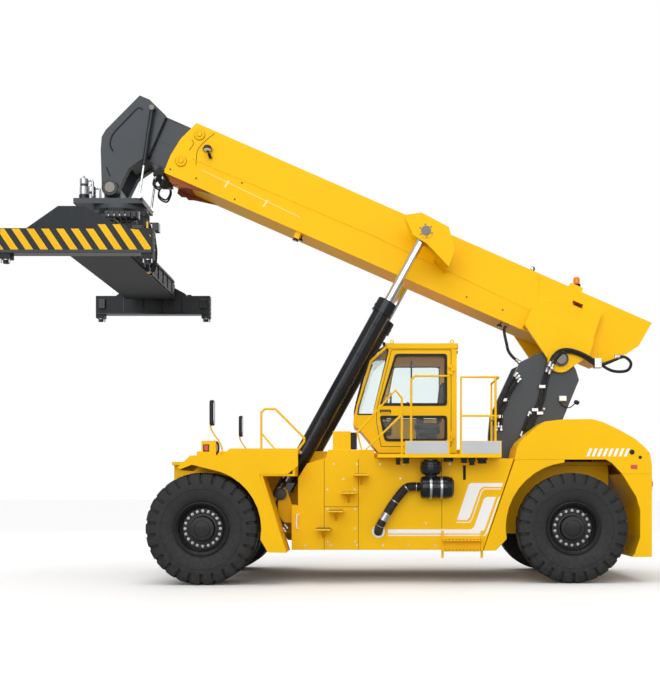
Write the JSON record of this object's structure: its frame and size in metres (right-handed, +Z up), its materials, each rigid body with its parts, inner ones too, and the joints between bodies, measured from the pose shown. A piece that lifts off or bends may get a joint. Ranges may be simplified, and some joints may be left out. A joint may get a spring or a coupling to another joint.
{
  "type": "reach stacker",
  "caption": "Container handling truck with a telescopic boom, tilting lift cylinders, central cab, twin front wheels, steered rear wheels and a rotating extending spreader.",
  "frame": {"origin": "centre of the whole object's box in plan, on the ground under the wheels", "axes": "-X towards the front of the machine, where the spreader is, +Y to its right, +Z up"},
  "size_m": [11.0262, 6.053, 8.8105],
  "materials": {
    "yellow_paint": "gloss",
    "grey_paint": "satin",
    "black_paint": "gloss",
    "tyre": "matt",
    "chrome": "polished",
    "glass": "clear",
    "plastic": "matt"
  },
  "bodies": {
    "machine": {"chassis": "yellow_paint", "front_axle": "grey_paint", "steer_axle": "grey_paint", "fender_front_left": "yellow_paint", "fender_front_right": "yellow_paint", "side_box_left": "yellow_paint", "side_box_right": "yellow_paint", "rear_fender_left": "yellow_paint", "rear_fender_right": "yellow_paint", "counterweight": "yellow_paint", "engine_hood": "yellow_paint", "engine_block": "grey_paint", "boom_tower": "grey_paint", "platform_left": "yellow_paint", "platform_right": "yellow_paint", "air_cleaner": "plastic", "intake_pipe": "plastic", "mirror_left": "plastic", "mirror_right": "plastic", "cab_shell": "yellow_paint", "windscreen": "glass", "rear_window": "glass", "right_window": "glass", "operator_seat": "plastic", "cab_console": "plastic"},
    "front_wheels_left": {"wheel_front_left": "black_paint", "tyre_front_outer_left": "tyre", "tyre_front_inner_left": "tyre"},
    "knuckle_left": {"steering_knuckle_left": "grey_paint"},
    "rear_wheel_left": {"wheel_rear_left": "black_paint", "tyre_rear_left": "tyre"},
    "front_wheels_right": {"wheel_front_right": "black_paint", "tyre_front_outer_right": "tyre", "tyre_front_inner_right": "tyre"},
    "knuckle_right": {"steering_knuckle_right": "grey_paint"},
    "rear_wheel_right": {"wheel_rear_right": "black_paint", "tyre_rear_right": "tyre"},
    "door": {"cab_door": "yellow_paint", "door_glass_upper": "glass", "door_glass_lower": "glass"},
    "boom": {"boom_outer": "yellow_paint"},
    "boom_extension": {"boom_inner": "grey_paint", "boom_head": "grey_paint", "damper_barrel_left": "black_paint", "damper_barrel_right": "black_paint"},
    "damper_rods": {"damper_rod_left": "chrome", "damper_rod_right": "chrome"},
    "yoke": {"rotator_yoke": "grey_paint"},
    "lift_barrels": {"lift_barrel_left": "black_paint", "lift_barrel_right": "black_paint"},
    "lift_rods": {"lift_rod_left": "chrome", "lift_rod_right": "chrome"},
    "rotator": {"rotator": "grey_paint"},
    "spreader": {"spreader_frame": "grey_paint"},
    "beam_left": {"spreader_beam_left": "yellow_paint"},
    "beam_right": {"spreader_beam_right": "yellow_paint"}
  },
  "joints": [
    {"name": "front_wheels_left_spin", "type": "hinge", "parent": "machine", "child": "front_wheels_left", "pos_m": [-2.46271, -1.55, 0.944], "axis": [0, 1, 0], "continuous": true},
    {"name": "front_wheels_right_spin", "type": "hinge", "parent": "machine", "child": "front_wheels_right", "pos_m": [-2.46271, 1.55, 0.944], "axis": [0, 1, 0], "continuous": true},
    {"name": "steer_left", "type": "hinge", "parent": "machine", "child": "knuckle_left", "pos_m": [3.83729, -1.2, 0.944], "axis": [0, 0, 1], "range_deg": [-45, 45]},
    {"name": "steer_right", "type": "hinge", "parent": "machine", "child": "knuckle_right", "pos_m": [3.83729, 1.2, 0.944], "axis": [0, 0, 1], "range_deg": [-45, 45]},
    {"name": "rear_wheel_left_spin", "type": "hinge", "parent": "knuckle_left", "child": "rear_wheel_left", "pos_m": [3.83729, -1.5, 0.944], "axis": [0, 1, 0], "continuous": true},
    {"name": "rear_wheel_right_spin", "type": "hinge", "parent": "knuckle_right", "child": "rear_wheel_right", "pos_m": [3.83729, 1.5, 0.944], "axis": [0, 1, 0], "continuous": true},
    {"name": "cab_door_swing", "type": "hinge", "parent": "machine", "child": "door", "pos_m": [1.82529, -0.826, 2.26], "axis": [0, 0, 1], "range_deg": [0, 48]},
    {"name": "boom_lift", "type": "hinge", "parent": "machine", "child": "boom", "pos_m": [3.79729, 0, 3.95], "axis": [0, -1, 0], "range_deg": [-36.3, 20]},
    {"name": "boom_extend", "type": "slide", "parent": "boom", "child": "boom_extension", "axis": [-0.9157, 0, 0.4019], "range_m": [0, 6]},
    {"name": "yoke_level", "type": "hinge", "parent": "boom_extension", "child": "yoke", "pos_m": [-4.39309, 0, 7.1205], "axis": [0, -1, 0], "range_deg": [-20.5, 36.8]},
    {"name": "damper_stroke", "type": "slide", "parent": "boom_extension", "child": "damper_rods", "axis": [-0.1468, 0, -0.9892], "range_m": [-0.3535, 0.197]},
    {"name": "lift_barrel_tilt", "type": "hinge", "parent": "machine", "child": "lift_barrels", "pos_m": [-1.20071, 0, 1.523], "axis": [0, -1, 0], "range_deg": [-7.02, 4]},
    {"name": "lift_rod_stroke", "type": "slide", "parent": "lift_barrels", "child": "lift_rods", "axis": [0.4824, 0, 0.876], "range_m": [-1.0781, 1.9487]},
    {"name": "spreader_rotate", "type": "hinge", "parent": "yoke", "child": "rotator", "pos_m": [-4.29309, 0, 6.8305], "axis": [0, 0, 1], "range_deg": [-195, 105]},
    {"name": "spreader_sideshift", "type": "slide", "parent": "rotator", "child": "spreader", "axis": [0, 1, 0], "range_m": [-0.8, 0.8]},
    {"name": "beam_left_slide", "type": "slide", "parent": "spreader", "child": "beam_left", "axis": [0, -1, 0], "range_m": [0, 3.066]},
    {"name": "beam_right_slide", "type": "slide", "parent": "spreader", "child": "beam_right", "axis": [0, 1, 0], "range_m": [0, 3.066]}
  ],
  "couplings": [
    {"joint": "steer_right", "follows": "steer_left", "ratio": 1},
    {"joint": "yoke_level", "follows": "boom_lift", "ratio": -1},
    {"joint": "damper_stroke", "follows": "boom_lift", "m_per_rad": 0.55},
    {"joint": "lift_barrel_tilt", "follows": "boom_lift", "ratio": 0.185},
    {"joint": "lift_rod_stroke", "follows": "boom_lift", "m_per_rad": -3.06},
    {"joint": "beam_right_slide", "follows": "beam_left_slide", "ratio": 1}
  ]
}
